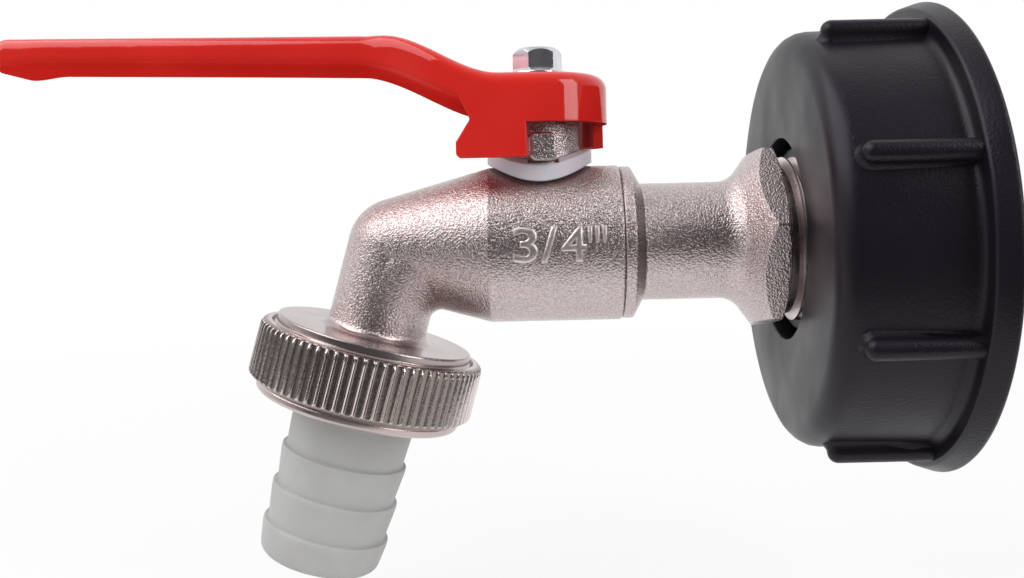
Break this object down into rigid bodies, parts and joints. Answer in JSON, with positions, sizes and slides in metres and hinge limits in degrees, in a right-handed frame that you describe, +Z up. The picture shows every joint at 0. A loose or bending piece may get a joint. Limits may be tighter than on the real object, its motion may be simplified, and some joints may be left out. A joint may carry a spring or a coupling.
{
  "type": "container outlet ball valve",
  "caption": "Bib tap for a bulk liquid container: screw cap with gasket, ball valve with a red lever, and a hose tail held by a union nut.",
  "frame": {"origin": "centre of the screw cap's open mouth, on the axis of the tank thread", "axes": "+X out of the mouth towards the tank, along the thread's axis; +Z up, along the valve stem; -Y faces the stop lug"},
  "size_m": [0.1484, 0.0754, 0.0901],
  "materials": {
    "cap_plastic": "satin",
    "gasket_rubber": "matte",
    "nickel_plate": "blasted and plated",
    "plain_brass": "turned",
    "ball_plate": "polished",
    "seat_plastic": "waxy",
    "washer_plastic": "translucent",
    "lever_paint": "gloss",
    "screw_zinc": "zinc plated",
    "tail_plastic": "matte"
  },
  "bodies": {
    "tap": {"screw_cap": "cap_plastic", "cap_gasket": "gasket_rubber", "inlet_connector": "nickel_plate", "valve_body": "nickel_plate", "front_seat": "seat_plastic", "rear_seat": "seat_plastic", "stem_thrust_washer": "seat_plastic", "saddle_washer": "washer_plastic"},
    "lever": {"lever": "lever_paint", "lever_screw": "screw_zinc", "stem": "plain_brass", "stem_o_ring_lower": "gasket_rubber", "stem_o_ring_upper": "gasket_rubber", "ball": "ball_plate"},
    "hose_tail": {"hose_tail": "tail_plastic", "tail_gasket": "gasket_rubber"},
    "union_nut": {"union_nut": "nickel_plate"}
  },
  "joints": [
    {"name": "lever_turn", "type": "hinge", "parent": "tap", "child": "lever", "pos_m": [-0.0617, 0, 0], "axis": [0, 0, 1], "range_deg": [-90, 0]},
    {"name": "tail_slide", "type": "slide", "parent": "tap", "child": "hose_tail", "axis": [-0.2689, 0, -0.9632], "range_m": [0, 0.0058]},
    {"name": "nut_turn", "type": "hinge", "parent": "hose_tail", "child": "union_nut", "pos_m": [-0.0851, 0, 0], "axis": [-0.2689, 0, -0.9632], "range_deg": [0, 900]}
  ],
  "couplings": [
    {"joint": "tail_slide", "follows": "nut_turn", "m_per_rad": 0.00036749}
  ]
}
